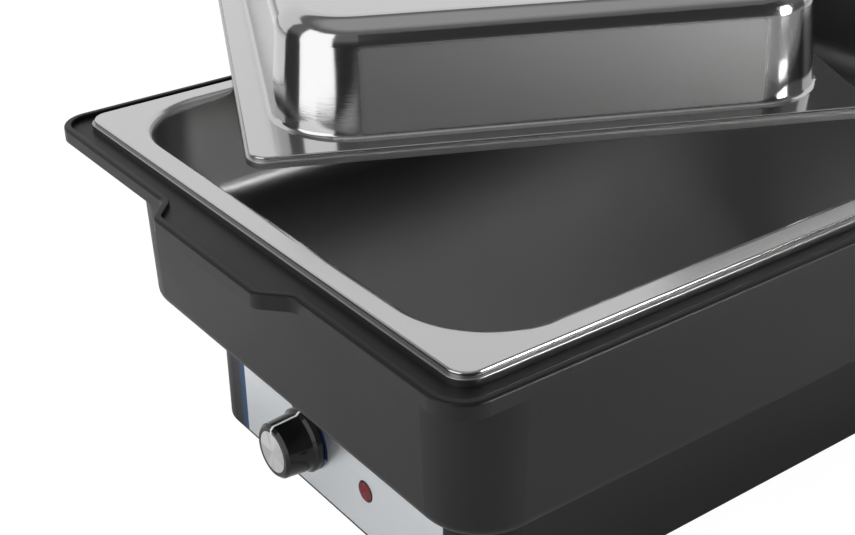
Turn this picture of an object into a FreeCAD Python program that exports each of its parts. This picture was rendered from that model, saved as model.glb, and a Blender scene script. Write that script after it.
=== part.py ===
import FreeCAD, Part
import math
import os
import re
import Sketcher

# Electric food warmer: a black trough on a narrower base, a full-size steel pan hung in it and a loose lid.
# Millimetres, +Z up. The origin is on the table under the middle of the base, and the control end faces -X.

V = FreeCAD.Vector
doc = FreeCAD.newDocument("FoodWarmer")
sheet = doc.addObject("Spreadsheet::Sheet", "Sizes")

# ---------------------------------------------------------------- driving sizes
SIZES = {
    # outline and pressed edge that the pan and the lid share
    "gn_length": 530,         # full-size container, long side
    "gn_width": 325,          # full-size container, short side
    "gn_corner": 11,          # outer corner of the rim
    "steel": 0.9,             # sheet of the pan and the lid
    "edge_drop": 5.6,         # height of the turned-down edge
    "ledge_drop": 2.1,        # height of its upper step
    "ledge_width": 1.5,       # how far the lower step stands out
    "edge_round": 0.9,        # shoulder of the upper step
    "ledge_round": 0.5,       # outer edge of the lower step
    # food pan
    "pan_rim": 15.5,          # edge to the wall
    "pan_depth": 65,
    "pan_corner": 43,         # corner of the wall below the bend
    "pan_draft": 5,           # degrees
    "pan_fillet": 15,         # inside, wall to floor
    "pan_bend": 4,            # rim to wall, underside
    # lid
    "lid_rim_end": 15,        # flat rim at the short ends
    "lid_rim_side": 16.5,     # flat rim along the long sides
    "lid_rise": 58,           # dome above the flat rim
    "lid_corner": 42,         # corner of the dome at its foot
    "lid_draft": 5.5,         # degrees
    "lid_round": 13.5,        # dome wall to top
    "lid_bend": 2.5,          # rim to dome
    "lid_yaw": 63.8,          # degrees the lid lies turned from the pan
    "lid_shift_x": 30.4,      # middle of the lid from the middle of the pan
    "lid_shift_y": 214.5,
    # lid handle
    "handle_span": 110,       # between the two screws
    "handle_lift": 28,        # finger space under the grip
    "handle_thick": 12,
    "handle_width": 18,
    "handle_bend": 14,        # middle line of the two bends
    "handle_foot": 24,
    "handle_foot_thick": 3,
    "handle_screw": 5,
    "handle_screw_grip": 16,  # depth of the hole up the handle
    "washer_thick": 1,
    # trough
    "trough_height": 100.4,   # underside to the pan's rim
    "trough_inset": 14.1,     # underside behind the edge of the pan
    "trough_corner": 30,
    "trough_draft": 1.75,     # degrees
    "trough_wall": 2.5,
    "trough_fillet": 7,       # wall to underside
    "bead_rise": 2.6,         # ridge above the pan's seat
    "bead_width": 3.8,        # ridge along the edge of the flange and the hand-holds
    "bead_round": 0.7,        # its inner top edge
    "flange_reach": 12.5,     # flange beyond the edge of the pan
    "flange_corner": 17,
    "flange_round": 1.5,      # top outer edge
    "lip_drop": 7.5,          # ridge top to the lip's lower edge
    "lip_wall": 2.5,
    "grip_reach": 12,         # hand-hold beyond the flange
    "grip_width": 91,         # its straight outer edge
    "grip_jog": 13,           # length of its slanted flanks
    "grip_shift": 7.5,        # its middle beside the middle of the end
    "grip_round": 8,
    "grip_ribs": 3,
    "grip_rib_wall": 2,
    "rib_inset": 0.8,         # ribs above the lip's lower edge
    # base
    "foot_stand": 3,          # feet below the base
    "base_height": 73.6,
    "base_inset": 40,         # base wall behind the edge of the pan
    "base_corner": 25,
    "base_wall": 3,
    "post_end": 85,           # screw posts on the long walls, from the end of the base
    "post_inset": 9,
    "post_dia": 14,
    "boss_drop": 14,          # screw bosses under the trough
    "boss_dia": 12,
    "boss_floor": 3,          # closed end of the boss
    "post_web": 8,            # post left above the screw's counterbore
    "housing_screw": 4,
    "floor_thick": 2,
    "floor_gap": 0.3,
    "floor_post_end": 30,     # from the end of the base
    "floor_post_inset": 7,
    "floor_post_dia": 9,
    "floor_post_rise": 18,
    "floor_screw": 3,
    "vent_count": 9,
    "vent_pitch": 12,
    "vent_width": 4,
    "vent_length": 70,
    "foot_end": 35,           # from the end of the base
    "foot_side": 34.5,        # from its side
    "foot_dia": 20,
    "foot_plug": 7,
    # control plate, knob and lamp
    "plate_width": 192.4,
    "plate_thick": 1,
    "plate_strip": 1.2,       # base wall left under the plate
    "knob_side": 21,          # axis beside the middle of the base
    "knob_rise": 30.3,        # axis above the lower edge of the base
    "knob_stand": 21,         # face in front of the plate
    "knob_gap": 0.5,          # skirt to plate
    "knob_face": 30,
    "knob_root": 32,
    "skirt_dia": 35,
    "skirt_thick": 3.5,
    "cap_dia": 22.6,
    "cap_thick": 0.8,
    "pointer_width": 1.3,
    "pointer_depth": 0.6,
    "pointer_proud": 0.05,
    "slot_over": 1,           # how far the cutter for the pointer's slot reaches past the knob
    "shaft_dia": 6,
    "shaft_fit": 0.05,        # running fit, on the radius
    "knob_hollow": 21,        # open back of the knob, over the nut
    "knob_hollow_deep": 4.5,
    "knob_bore_deep": 14,
    "knob_chamfer": 1.6,
    "lamp_side": -32.5,
    "lamp_rise": 27.7,
    "lamp_dia": 11.8,
    "lamp_hole": 12,
    "lamp_collar": 15,
    "lamp_flange": 1.2,
    "lamp_proud": 0.4,
    "lamp_length": 22,
    "blade_thick": 0.8,       # push-on blades
    "blade_width": 6.3,
    "blade_length": 8,
    # thermostat
    "stat_width": 38,
    "stat_height": 40,
    "stat_depth": 24,
    "stat_corner": 4,
    "shaft_seat": 12,         # shaft inside the thermostat
    "shaft_end_gap": 1,
    "bushing_dia": 9.6,
    "bushing_stand": 3,       # in front of the plate
    "nut_flats": 13,
    "nut_thick": 2.4,
    # heater in the floor of the trough
    "heat_length": 300,       # opening in the floor
    "heat_width": 150,
    "heat_corner": 20,
    "heat_flange": 15,        # plate and gasket round the opening
    "heat_gap": 2,            # dish to opening
    "heat_sheet": 1.2,
    "heat_sink": 2,           # underside of the dish below the trough
    "gasket_thick": 1.5,
    "tube_dia": 8,
    "tube_pitch": 30,
    "tube_margin": 30,        # straight legs end this far inside the opening's ends
    "tube_tail": 10,          # extra length of the two outer legs
    "terminal_length": 14,
    "clamp_margin": 58,       # end of the opening to the middle of a clamp bar
    "clamp_width": 18,
    "clamp_thick": 3,
    "stud_y": 30,
    "stud_dia": 5,
    "bulb_dia": 6,
    "bulb_length": 70,
    "bulb_gap": 24,           # clamp bar to bulb
    "clip_width": 8,
    "clip_wall": 1.5,
    "capillary_bend": 6,
    "capillary_dia": 1.6,
    "cutout_dia": 16,
    "cutout_thick": 8,
    # mains side
    "gland_hole": 12.4,
    "gland_bore": 7,
    "gland_rise": 24,
    "gland_head": 20,
    "gland_flange": 4,
    "gland_nose": 11,
    "gland_tail": 9,
    "block_length": 50,
    "block_width": 22,
    "block_height": 16,
    "block_corner": 2,
    "block_entry": 4,
    "block_end": 75,          # from the end of the base
    "block_y": -50,
    "hole_gap": 0.25,         # round screws in clearance holes, on the radius
    "thread_gap": 0.03,       # round screws and plugs in their own holes, on the radius
}

# ---------------------------------------------------------------- sizes that follow
FOLLOWING = {
    "pan_open_length": "gn_length - 2 * pan_rim",
    "pan_open_width": "gn_width - 2 * pan_rim",
    "lid_open_length": "gn_length - 2 * lid_rim_end",
    "lid_open_width": "gn_width - 2 * lid_rim_side",
    "lid_top": "edge_drop + lid_rise",
    "seat_rise": "trough_height - edge_drop",
    "bead_top": "seat_rise + bead_rise",
    "lip_rise": "bead_top - lip_drop",
    "wall_lean": "seat_rise * tan(trough_draft)",
    "wall_inset": "trough_inset - wall_lean",
    "wall_length": "gn_length - 2 * wall_inset",
    "wall_width": "gn_width - 2 * wall_inset",
    "wall_corner": "trough_corner + wall_lean",
    "flange_length": "gn_length + 2 * flange_reach",
    "flange_width": "gn_width + 2 * flange_reach",
    "base_length": "gn_length - 2 * base_inset",
    "base_width": "gn_width - 2 * base_inset",
    "post_x": "base_length / 2 - post_end",
    "post_y": "base_width / 2 - post_inset",
    "post_rise": "base_height - boss_drop",
    "floor_post_x": "base_length / 2 - floor_post_end",
    "floor_post_y": "base_width / 2 - floor_post_inset",
    "foot_x": "base_length / 2 - foot_end",
    "foot_y": "base_width / 2 - foot_side",
    "block_x": "base_length / 2 - block_end",
    "trough_z": "foot_stand + base_height",
    "rim_z": "trough_z + trough_height",
    "dish_length": "heat_length - 2 * heat_gap",
    "dish_width": "heat_width - 2 * heat_gap",
    "dish_corner": "heat_corner - heat_gap",
    "plate_seat": "trough_wall + gasket_thick",
    "tube_half": "heat_length / 2 - tube_margin",
    "clamp_x": "heat_length / 2 - clamp_margin",
    "knob_length": "knob_stand - knob_gap",
}

for row, (alias, size) in enumerate(list(SIZES.items()) + list(FOLLOWING.items()), start=1):
    cell = f"A{row}"
    sheet.set(cell, f"={size}" if alias in FOLLOWING else str(size))
    sheet.setAlias(cell, alias)
sheet.recompute()
NAMES = set(SIZES) | set(FOLLOWING)
scratch = doc.addObject("Spreadsheet::Sheet", "Scratch")
OUTLINE_SLACK = 0.15


def bound(text):
    """An expression on the sheet's aliases, ready for setExpression."""
    return re.sub(r"[a-z]\w*", lambda word: f"Sizes.{word[0]}" if word[0] in NAMES else word[0], text)


def number(text):
    """The present value of an expression on the sheet's aliases."""
    scratch.set("A1", f"={bound(text)}")
    scratch.recompute()
    return float(scratch.get("A1"))


# ---------------------------------------------------------------- helpers
nodes = []


def new_body(name):
    body = doc.addObject("PartDesign::Body", name)
    body.Label = name
    nodes.append(body)
    return body


def place(part, x="0", y="0", z="0", rotation=None):
    """Put a sub-part in the assembly, its position bound to the sheet."""
    if rotation is not None:
        part.Placement.Rotation = rotation
    for axis, text in (("x", x), ("y", y), ("z", z)):
        part.setExpression(f"Placement.Base.{axis}", bound(text))
    return part


def new_sketch(body, role="XY_Plane", height="0"):
    """A sketch on one of the body's own origin planes, lifted along its normal."""
    plane = [feature for feature in body.Origin.OriginFeatures if feature.Role == role][0]
    sketch = body.newObject("Sketcher::SketchObject", f"{body.Name}_sketch")
    sketch.AttachmentSupport = (plane, [""])
    sketch.MapMode = "FlatFace"
    sketch.setExpression("AttachmentOffset.Base.z", bound(height))
    return sketch


def fix(sketch, constraint, text):
    index = sketch.addConstraint(constraint)
    sketch.setExpression(f"Constraints[{index}]", bound(text))


def add_outline(sketch, length, width, corner):
    """A rounded rectangle about the sketch's origin."""
    half_x = number(length) / 2
    half_y = number(width) / 2
    radius = number(corner)
    line_x = half_x - radius
    line_y = half_y - radius
    sides = (
        ((-line_x, -half_y), (line_x, -half_y)),
        ((half_x, -line_y), (half_x, line_y)),
        ((line_x, half_y), (-line_x, half_y)),
        ((-half_x, line_y), (-half_x, -line_y)),
    )
    corners = ((line_x, -line_y), (line_x, line_y), (-line_x, line_y), (-line_x, -line_y))
    ids = []
    for turn, (side, centre) in enumerate(zip(sides, corners)):
        start = math.radians(90 * turn - 90)
        circle = Part.Circle(V(*centre, 0), V(0, 0, 1), radius)
        ids.append(sketch.addGeometry(Part.LineSegment(V(*side[0], 0), V(*side[1], 0)), False))
        ids.append(sketch.addGeometry(Part.ArcOfCircle(circle, start, start + math.pi / 2), False))
    for index, item in enumerate(ids):
        sketch.addConstraint(Sketcher.Constraint("Tangent", item, 2, ids[(index + 1) % len(ids)], 1))
    for index, direction in ((0, "Horizontal"), (2, "Vertical"), (4, "Horizontal"), (6, "Vertical")):
        sketch.addConstraint(Sketcher.Constraint(direction, ids[index]))
    for index in (3, 5, 7):
        sketch.addConstraint(Sketcher.Constraint("Equal", ids[1], ids[index]))
    sketch.addConstraint(Sketcher.Constraint("Symmetric", ids[0], 1, ids[4], 1, -1, 1))
    fix(sketch, Sketcher.Constraint("Radius", ids[1], radius), corner)
    fix(sketch, Sketcher.Constraint("DistanceX", ids[6], 1, ids[2], 1, 2 * half_x), length)
    fix(sketch, Sketcher.Constraint("DistanceY", ids[0], 1, ids[4], 1, 2 * half_y), width)


def add_polygon(sketch, points):
    """A closed polygon whose corners are pairs of expressions."""
    places = [V(number(x), number(y), 0) for x, y in points]
    ids = []
    for index, start in enumerate(places):
        end = places[(index + 1) % len(places)]
        ids.append(sketch.addGeometry(Part.LineSegment(start, end), False))
    for index, item in enumerate(ids):
        after = ids[(index + 1) % len(ids)]
        sketch.addConstraint(Sketcher.Constraint("Coincident", item, 2, after, 1))
        fix_point(sketch, item, 1, places[index], points[index])


def fix_point(sketch, item, end, place_now, texts):
    """Hold one point of a sketch at a pair of expressions from its origin."""
    for kind, value, text in (("DistanceX", place_now.x, texts[0]), ("DistanceY", place_now.y, texts[1])):
        if text == "0":
            held = "PointOnObject"
            axis = -2 if kind == "DistanceX" else -1
            sketch.addConstraint(Sketcher.Constraint(held, item, end, axis))
        else:
            fix(sketch, Sketcher.Constraint(kind, -1, 1, item, end, value), text)


def add_circle(sketch, x, y, diameter):
    centre = V(number(x), number(y), 0)
    radius = number(diameter) / 2
    item = sketch.addGeometry(Part.Circle(centre, V(0, 0, 1), radius), False)
    fix(sketch, Sketcher.Constraint("Diameter", item, 2 * radius), diameter)
    fix_point(sketch, item, 3, centre, (x, y))


def four_ways(x, y):
    """The same place in all four quarters."""
    return [(f"{sx}{x}", f"{sy}({y})") for sx in ("", "-") for sy in ("", "-")]


def pad(body, sketch, length, up=True, draft=None):
    """Add the sketch's area along its normal, or against it; a positive draft widens it."""
    feature = body.newObject("PartDesign::Pad", f"{body.Name}_pad")
    feature.Profile = sketch
    feature.Reversed = not up
    feature.setExpression("Length", bound(length))
    if draft:
        feature.setExpression("TaperAngle", bound(draft))
    doc.recompute()
    return feature


def pocket(body, sketch, length, up=False, draft=None):
    """Cut the sketch's area against its normal, or along it, and make sure that something went."""
    before = body.Tip.Shape.Volume
    feature = body.newObject("PartDesign::Pocket", f"{body.Name}_pocket")
    feature.Profile = sketch
    feature.Reversed = up
    feature.setExpression("Length", bound(length))
    if draft:
        feature.setExpression("TaperAngle", bound(draft))
    doc.recompute()
    if not feature.Shape.Volume < before - 1e-3:
        raise RuntimeError(f"{feature.Name} cuts nothing")
    return feature


def level_edges(feature, height, length=None, width=None):
    """The names of the edges that lie at one height, or of those on one rounded rectangle there."""
    names = []
    half_x = number(length) / 2 if length else 0
    half_y = number(width) / 2 if width else 0
    for index, edge in enumerate(feature.Shape.Edges, start=1):
        points = [vertex.Point for vertex in edge.Vertexes]
        held = all(abs(point.z - height) < 0.01 for point in points)
        if held and length:
            held = all(abs(max(abs(p.x) - half_x, abs(p.y) - half_y)) < OUTLINE_SLACK for p in points)
        if held:
            names.append(f"Edge{index}")
    return names


def upright_edges(feature, x, y):
    """The names of the upright edges at one distance from both middle planes."""
    far_x = number(x)
    far_y = number(y)
    names = []
    for index, edge in enumerate(feature.Shape.Edges, start=1):
        points = [vertex.Point for vertex in edge.Vertexes]
        there = all(abs(abs(p.x) - far_x) < 0.01 and abs(abs(p.y) - far_y) < 0.01 for p in points)
        if there and abs(points[0].z - points[-1].z) > 0.01:
            names.append(f"Edge{index}")
    return names


def inner_edges(feature, height):
    """The names of the edges round the openings in the flat faces at one height."""
    rings = []
    for face in feature.Shape.Faces:
        if all(abs(vertex.Point.z - height) < 0.01 for vertex in face.Vertexes):
            rings += [wire for wire in face.Wires if not wire.isSame(face.OuterWire)]
    return [f"Edge{index}" for index, edge in enumerate(feature.Shape.Edges, start=1)
            if any(edge.isSame(other) for ring in rings for other in ring.Edges)]


def round_edges(body, names, radius):
    """Fillet named edges of the body's tip."""
    if not names:
        raise RuntimeError(f"no edges to round on {body.Name}")
    base = body.Tip
    feature = body.newObject("PartDesign::Fillet", f"{body.Name}_fillet")
    feature.Base = (base, names)
    feature.setExpression("Radius", bound(radius))
    doc.recompute()
    return feature


def form(name, outline, height, length, up, draft, rounding):
    """A drafted block with a rounded far end, which carves the inside of a shell."""
    body = doc.addObject("PartDesign::Body", name)
    sketch = new_sketch(body, height=height)
    add_outline(sketch, *outline)
    block = pad(body, sketch, length, up, draft)
    far = number(f"{height} + ({length})" if up else f"{height} - ({length})")
    round_edges(body, level_edges(block, far), rounding)
    return body


def carve(body, tool):
    """Take another body's shape out of this one."""
    feature = body.newObject("PartDesign::Boolean", f"{body.Name}_carved")
    feature.Type = "Cut"
    feature.setObjects([tool])
    doc.recompute()
    return feature


def revolve(body, points):
    """A solid of revolution about the body's Z axis, from (radius, height) corners."""
    sketch = new_sketch(body, "XZ_Plane")
    add_polygon(sketch, points)
    feature = body.newObject("PartDesign::Revolution", f"{body.Name}_revolution")
    feature.Profile = sketch
    feature.ReferenceAxis = (sketch, ["V_Axis"])
    feature.Angle = 360
    doc.recompute()
    return feature


def repeated(name, make, places):
    """One node of identical fasteners: copies of one body at several places in the assembly."""
    master = make(f"{name}_one")
    nodes.remove(master)
    copies = []
    for x, y, z, rotation in places:
        link = doc.addObject("Part::Feature", f"{name}_copy")
        link.Shape = master.Shape
        place(link, x, y, z, rotation)
        copies.append(link)
    group = doc.addObject("Part::Compound", name)
    group.Links = copies
    group.Label = name
    nodes.append(group)
    doc.recompute()
    return group


# ---------------------------------------------------------------- pressed steel pan and lid
def pressed_edge(body):
    """The stepped, turned-down edge of the outline, hollow below; z = 0 is its foot and the rim is on top."""
    step_length = "gn_length - 2 * ledge_width"
    step_width = "gn_width - 2 * ledge_width"
    lower = new_sketch(body)
    add_outline(lower, "gn_length", "gn_width", "gn_corner")
    pad(body, lower, "edge_drop - ledge_drop")
    upper = new_sketch(body)
    add_outline(upper, step_length, step_width, "gn_corner - ledge_width")
    stepped = pad(body, upper, "edge_drop")
    shoulder = level_edges(stepped, number("edge_drop"), step_length, step_width)
    rounded = round_edges(body, shoulder, "edge_round")
    ledge = level_edges(rounded, number("edge_drop - ledge_drop"), "gn_length", "gn_width")
    round_edges(body, ledge, "ledge_round")
    hollow = new_sketch(body)
    add_outline(hollow, "gn_length - 2 * steel", "gn_width - 2 * steel", "gn_corner - steel")
    pocket(body, hollow, "edge_drop - ledge_drop - steel", up=True)
    inner = new_sketch(body)
    add_outline(inner, f"{step_length} - 2 * steel", f"{step_width} - 2 * steel",
                "gn_corner - ledge_width - steel")
    pocket(body, inner, "edge_drop - steel", up=True)


def food_pan():
    """Full-size pan: stepped rim, drafted walls and a wide fillet to the floor."""
    body = new_body("food_pan")
    pressed_edge(body)
    outer = new_sketch(body, height="edge_drop")
    add_outline(outer, "pan_open_length + 2 * steel", "pan_open_width + 2 * steel", "pan_corner + steel")
    tub = pad(body, outer, "pan_depth", up=False, draft="-pan_draft")
    rounded = round_edges(body, level_edges(tub, number("edge_drop - pan_depth")), "pan_fillet + steel")
    under = level_edges(rounded, number("edge_drop - steel"), "pan_open_length + 2 * steel",
                        "pan_open_width + 2 * steel")
    round_edges(body, under, "pan_bend")
    opening = ("pan_open_length", "pan_open_width", "pan_corner")
    inside = form("pan_inside", opening, "edge_drop", "pan_depth - steel", False, "-pan_draft", "pan_fillet")
    open_pan = carve(body, inside)
    mouth = level_edges(open_pan, number("edge_drop"), "pan_open_length", "pan_open_width")
    round_edges(body, mouth, "pan_bend + steel")
    place(body, z="rim_z - edge_drop")


def lid_shell():
    """Loose lid on the same outline: flat rim, drafted dome and a large round to its top."""
    body = new_body("lid_shell")
    pressed_edge(body)
    foot = new_sketch(body, height="edge_drop - steel")
    add_outline(foot, "lid_open_length", "lid_open_width", "lid_corner")
    dome = pad(body, foot, "lid_rise + steel", draft="-lid_draft")
    rounded = round_edges(body, level_edges(dome, number("lid_top")), "lid_round")
    foot_edges = level_edges(rounded, number("edge_drop"), "lid_open_length", "lid_open_width")
    round_edges(body, foot_edges, "lid_bend")
    opening = ("lid_open_length - 2 * steel", "lid_open_width - 2 * steel", "lid_corner - steel")
    inside = form("lid_inside", opening, "edge_drop - steel", "lid_rise", True, "-lid_draft",
                  "lid_round - steel")
    hollow = carve(body, inside)
    mouth = level_edges(hollow, number("edge_drop - steel"), *opening[:2])
    round_edges(body, mouth, "lid_bend + steel")
    holes = new_sketch(body, height="lid_top")
    for x in ("handle_span / 2", "-handle_span / 2"):
        add_circle(holes, x, "0", "handle_screw + 2 * hole_gap")
    pocket(body, holes, "2 * steel")
    place_on_lid(body)


def place_on_lid(part):
    """Everything on the lid is drawn in the lid's own frame and turned with it."""
    turned = FreeCAD.Rotation(V(0, 0, 1), number("lid_yaw"))
    place(part, "lid_shift_x", "lid_shift_y", "rim_z", turned)


def lid_handle():
    """Bow handle along the lid: one swept bar with a round foot at each end and a blind screw hole up it."""
    body = new_body("lid_handle")
    foot_z = "lid_top + washer_thick"
    left = "-handle_span / 2"
    rise = number("handle_lift + handle_thick / 2 - handle_bend")
    low = number(f"{foot_z} + handle_foot_thick / 2")
    high = number(foot_z) + rise
    half = number("handle_span / 2")
    bend = number("handle_bend")
    path = new_sketch(body, "XZ_Plane")
    corner = math.pi / 2
    left_bend = Part.Circle(V(-half + bend, high, 0), V(0, 0, 1), bend)
    right_bend = Part.Circle(V(half - bend, high, 0), V(0, 0, 1), bend)
    up_line = path.addGeometry(Part.LineSegment(V(-half, low, 0), V(-half, high, 0)), False)
    left_arc = path.addGeometry(Part.ArcOfCircle(left_bend, corner, 2 * corner), False)
    grip_ends = (V(-half + bend, high + bend, 0), V(half - bend, high + bend, 0))
    grip = path.addGeometry(Part.LineSegment(*grip_ends), False)
    right_arc = path.addGeometry(Part.ArcOfCircle(right_bend, 0, corner), False)
    down_line = path.addGeometry(Part.LineSegment(V(half, high, 0), V(half, low, 0)), False)
    path.addConstraint(Sketcher.Constraint("Tangent", up_line, 2, left_arc, 2))
    path.addConstraint(Sketcher.Constraint("Tangent", left_arc, 1, grip, 1))
    path.addConstraint(Sketcher.Constraint("Tangent", grip, 2, right_arc, 2))
    path.addConstraint(Sketcher.Constraint("Tangent", right_arc, 1, down_line, 1))
    path.addConstraint(Sketcher.Constraint("Vertical", up_line))
    path.addConstraint(Sketcher.Constraint("Vertical", down_line))
    path.addConstraint(Sketcher.Constraint("Equal", left_arc, right_arc))
    fix(path, Sketcher.Constraint("Radius", left_arc, bend), "handle_bend")
    fix(path, Sketcher.Constraint("DistanceY", up_line, 1, grip, 1, high + bend - low),
        "handle_lift + handle_thick / 2 - handle_foot_thick / 2")
    fix_point(path, up_line, 1, V(-half, low, 0), (left, f"{foot_z} + handle_foot_thick / 2"))
    fix_point(path, down_line, 2, V(half, low, 0), ("handle_span / 2", f"{foot_z} + handle_foot_thick / 2"))
    section = new_sketch(body, height=f"{foot_z} + handle_foot_thick / 2")
    section.setExpression("AttachmentOffset.Base.x", bound(left))
    add_outline(section, "handle_thick", "handle_width", "handle_thick * 0.45")
    doc.recompute()
    bar = body.newObject("PartDesign::AdditivePipe", "lid_handle_bar")
    bar.Profile = section
    bar.Spine = (path, [f"Edge{index}" for index in range(1, 6)])
    doc.recompute()
    feet = new_sketch(body, height=foot_z)
    for x in (left, "handle_span / 2"):
        add_circle(feet, x, "0", "handle_foot")
    pad(body, feet, "handle_foot_thick")
    holes = new_sketch(body, height=foot_z)
    for x in (left, "handle_span / 2"):
        add_circle(holes, x, "0", "handle_screw + 2 * thread_gap")
    pocket(body, holes, "handle_screw_grip", up=True)
    place_on_lid(body)


def lid_fasteners():
    """Washers outside the lid and pan-head screws from inside it."""
    turned = FreeCAD.Rotation(V(0, 0, 1), number("lid_yaw"))
    places = [(f"lid_shift_x {sign} handle_span / 2 * cos(lid_yaw)",
               f"lid_shift_y {sign} handle_span / 2 * sin(lid_yaw)") for sign in ("+", "-")]

    def washer(name):
        body = new_body(name)
        hole, edge = "handle_screw / 2 + hole_gap", "handle_foot / 2 - 1"
        revolve(body, ((hole, "0"), (edge, "0"), (edge, "washer_thick"), (hole, "washer_thick")))
        return body

    def screw(name):
        length = "steel + washer_thick + handle_screw_grip - 2"
        return pan_head(name, "handle_screw", length)

    repeated("handle_washers", washer, [(x, y, "rim_z + lid_top", turned) for x, y in places])
    repeated("handle_screws", screw, [(x, y, "rim_z + lid_top - steel", turned) for x, y in places])


# ---------------------------------------------------------------- fasteners
def pan_head(name, diameter, length):
    """A screw that points up from the underside of its head at z = 0."""
    body = new_body(name)
    revolve(body, (("0", f"-{diameter} * 0.6"), (f"{diameter} * 0.6", f"-{diameter} * 0.6"),
                   (f"{diameter} * 0.9", f"-{diameter} * 0.3"), (f"{diameter} * 0.9", "0"),
                   (f"{diameter} / 2", "0"), (f"{diameter} / 2", length), ("0", length)))
    return body


def hex_nut(name, flats, thick, hole):
    """A plain hexagon nut on z = 0."""
    prism = doc.addObject("Part::Prism", f"{name}_prism")
    prism.Polygon = 6
    prism.setExpression("Circumradius", bound(f"({flats}) / (2 * cos(30))"))
    prism.setExpression("Height", bound(thick))
    drill = doc.addObject("Part::Cylinder", f"{name}_drill")
    drill.setExpression("Radius", bound(f"({hole}) / 2"))
    drill.setExpression("Height", bound(thick))
    nut = doc.addObject("Part::Cut", name)
    nut.Base = prism
    nut.Tool = drill
    nut.Label = name
    nodes.append(nut)
    doc.recompute()
    return nut


# ---------------------------------------------------------------- trough
def grip_outline(side, inset):
    """One hand-hold, from the trough's wall out past the flange, with slanted flanks."""
    wall_x = "wall_length / 2"
    flange_x = f"flange_length / 2 - {inset}"
    outer_x = f"flange_length / 2 + grip_reach - {inset}"
    wide = f"(grip_width / 2 + grip_jog - {inset} * 0.4)"
    narrow = f"(grip_width / 2 - {inset} * 0.4)"
    points = [(wall_x, f"-{wide}"), (flange_x, f"-{wide}"), (outer_x, f"-{narrow}"),
              (outer_x, narrow), (flange_x, wide), (wall_x, wide)]
    return [(f"{side}({x})", f"{y} - grip_shift") for x, y in points]


def grip_corners(feature, inset):
    """The upright edges at the corners of both hand-holds, for the outer and the inner end of the flanks."""
    outer_x, narrow = "flange_length / 2 + grip_reach", "grip_width / 2"
    inner_x, wide = "flange_length / 2", "grip_width / 2 + grip_jog"
    convex, concave = [], []
    for shift in ("+ grip_shift", "- grip_shift"):
        convex += upright_edges(feature, f"{outer_x} - {inset}", f"{narrow} - {inset} * 0.4 {shift}")
        concave += upright_edges(feature, f"{inner_x} - {inset}", f"{wide} - {inset} * 0.4 {shift}")
    return convex, concave


def water_trough():
    """Moulded trough: drafted walls, a flange with a ridge and a turned-down lip, and two hand-holds."""
    body = new_body("water_trough")
    foot = new_sketch(body)
    add_outline(foot, "gn_length - 2 * trough_inset", "gn_width - 2 * trough_inset", "trough_corner")
    bowl = pad(body, foot, "seat_rise", draft="trough_draft")
    round_edges(body, level_edges(bowl, 0), "trough_fillet")
    flange = new_sketch(body, height="lip_rise")
    add_outline(flange, "flange_length", "flange_width", "flange_corner")
    pad(body, flange, "lip_drop")
    grips = new_sketch(body, height="lip_rise")
    for side in ("", "-"):
        add_polygon(grips, grip_outline(side, "0"))
    edged = pad(body, grips, "lip_drop")
    convex, concave = grip_corners(edged, "0")
    blended = round_edges(body, convex + concave, "grip_round")
    round_edges(body, level_edges(blended, number("bead_top")), "flange_round")
    hollow = new_sketch(body, height="lip_rise")
    add_outline(hollow, "flange_length - 2 * lip_wall", "flange_width - 2 * lip_wall",
                "flange_corner - lip_wall")
    add_outline(hollow, "wall_length", "wall_width", "wall_corner")
    pocket(body, hollow, "lip_drop - bead_rise - trough_wall", up=True)
    under_grips = new_sketch(body, height="lip_rise")
    for side in ("", "-"):
        add_polygon(under_grips, grip_outline(side, "lip_wall"))
    pocket(body, under_grips, "lip_drop - bead_rise - trough_wall", up=True)
    grip_ribs(body)
    recess = new_sketch(body, height="bead_top")
    add_outline(recess, "flange_length - 2 * bead_width", "flange_width - 2 * bead_width",
                "flange_corner - bead_width")
    pocket(body, recess, "bead_rise")
    grip_recess = new_sketch(body, height="bead_top")
    for side in ("", "-"):
        add_polygon(grip_recess, grip_outline(side, "bead_width"))
    ridged = pocket(body, grip_recess, "bead_rise")
    convex, concave = grip_corners(ridged, "bead_width")
    softened = round_edges(body, convex, "grip_round - bead_width")
    convex, concave = grip_corners(softened, "bead_width")
    ridge = round_edges(body, concave, "grip_round + bead_width")
    round_edges(body, inner_edges(ridge, number("bead_top")), "bead_round")
    opening = ("wall_length - 2 * trough_wall", "wall_width - 2 * trough_wall", "wall_corner - trough_wall")
    inside = form("trough_inside", opening, "seat_rise", "seat_rise - trough_wall", False, "-trough_draft",
                  "trough_fillet - trough_wall")
    carve(body, inside)
    heater_opening = new_sketch(body)
    add_outline(heater_opening, "heat_length", "heat_width", "heat_corner")
    pocket(body, heater_opening, "trough_wall", up=True)
    bosses = new_sketch(body)
    for x, y in four_ways("post_x", "post_y"):
        add_circle(bosses, x, y, "boss_dia")
    pad(body, bosses, "boss_drop", up=False)
    drills = new_sketch(body, height="-boss_drop")
    for x, y in four_ways("post_x", "post_y"):
        add_circle(drills, x, y, "housing_screw + 2 * thread_gap")
    pocket(body, drills, "boss_drop - boss_floor", up=True)
    place(body, z="trough_z")


def grip_ribs(body):
    """Ribs that stiffen the underside of each hand-hold, from the wall to the lip."""
    ribs = new_sketch(body, height="lip_rise + rib_inset")
    count = int(number("grip_ribs"))
    for side in ("", "-"):
        for step in range(count):
            middle = f"grip_width * {step - (count - 1) / 2} / {count} - grip_shift"
            near = f"{side}(wall_length / 2)"
            far = f"{side}(flange_length / 2 + grip_reach - lip_wall)"
            low = f"{middle} - grip_rib_wall / 2"
            high = f"{middle} + grip_rib_wall / 2"
            add_polygon(ribs, [(near, low), (far, low), (far, high), (near, high)])
    pad(body, ribs, "lip_drop - bead_rise - trough_wall - rib_inset")


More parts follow.
